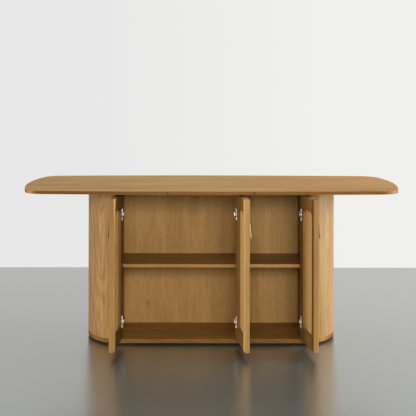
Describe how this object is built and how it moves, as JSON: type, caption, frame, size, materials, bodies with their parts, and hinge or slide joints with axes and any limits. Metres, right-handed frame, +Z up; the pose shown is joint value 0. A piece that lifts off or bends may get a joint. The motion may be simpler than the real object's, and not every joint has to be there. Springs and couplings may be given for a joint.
{
  "type": "kitchen table with storage cabinet",
  "caption": "Soft-cornered dining table on a bow-ended storage base with inset framed doors on concealed hinges, adjustable shelves and small tab pulls.",
  "frame": {"origin": "on the floor at the middle of the plinth, under the middle of the base and of the table top", "axes": "+Z up, +X along the table to the right as seen from the door side, -Y towards the door side"},
  "size_m": [1.8476, 0.9716, 0.762],
  "materials": {
    "oak_top": "satin oak veneer, grain along X",
    "oak_base": "satin oak veneer, upright grain",
    "oak_door": "satin oak, upright grain",
    "black_plinth": "black stain, matt",
    "nickel": "bright nickel plate",
    "pull_bronze": "satin light bronze"
  },
  "bodies": {
    "cabinet": {"table_top": "oak_top", "plinth": "black_plinth", "bottom_board": "oak_base", "left_end_shell": "oak_base", "right_end_shell": "oak_base", "left_side_panel": "oak_base", "right_side_panel": "oak_base", "divider": "oak_base", "shelf_pins": "nickel", "ceiling_board": "oak_base", "back_panel": "oak_base", "rear_panel": "oak_base", "left_shelf": "oak_base", "right_shelf": "oak_base", "left_hinge_plates": "nickel", "left_hinge_arms": "nickel", "middle_hinge_plates": "nickel", "middle_hinge_arms": "nickel", "right_hinge_plates": "nickel", "right_hinge_arms": "nickel"},
    "left_door": {"left_door_frame": "oak_door", "left_door_panel": "oak_door", "left_hinge_cups": "nickel", "left_pull": "pull_bronze"},
    "left_links": {"left_hinge_links": "nickel"},
    "middle_door": {"middle_door_frame": "oak_door", "middle_door_panel": "oak_door", "middle_hinge_cups": "nickel", "middle_pull": "pull_bronze"},
    "middle_links": {"middle_hinge_links": "nickel"},
    "right_door": {"right_door_frame": "oak_door", "right_door_panel": "oak_door", "right_hinge_cups": "nickel", "right_pull": "pull_bronze"},
    "right_links": {"right_hinge_links": "nickel"}
  },
  "joints": [
    {"name": "left_door_hinge", "type": "hinge", "parent": "cabinet", "child": "left_door", "pos_m": [-0.44985, -0.247, 0], "axis": [0, 0, 1], "range_deg": [0, 93.6]},
    {"name": "left_link_hinge", "type": "hinge", "parent": "cabinet", "child": "left_links", "pos_m": [-0.42335, -0.217, 0], "axis": [0, 0, 1], "range_deg": [0, 89.02]},
    {"name": "middle_door_hinge", "type": "hinge", "parent": "cabinet", "child": "middle_door", "pos_m": [0.13862, -0.247, 0], "axis": [0, 0, -1], "range_deg": [0, 96.8]},
    {"name": "middle_link_hinge", "type": "hinge", "parent": "cabinet", "child": "middle_links", "pos_m": [0.11212, -0.217, 0], "axis": [0, 0, -1], "range_deg": [0, 92.06]},
    {"name": "right_door_hinge", "type": "hinge", "parent": "cabinet", "child": "right_door", "pos_m": [0.44985, -0.247, 0], "axis": [0, 0, -1], "range_deg": [0, 97.7]},
    {"name": "right_link_hinge", "type": "hinge", "parent": "cabinet", "child": "right_links", "pos_m": [0.42335, -0.217, 0], "axis": [0, 0, -1], "range_deg": [0, 92.91]}
  ],
  "couplings": [
    {"joint": "left_link_hinge", "follows": "left_door_hinge", "ratio": 0.95},
    {"joint": "middle_link_hinge", "follows": "middle_door_hinge", "ratio": 0.95},
    {"joint": "right_link_hinge", "follows": "right_door_hinge", "ratio": 0.95}
  ]
}
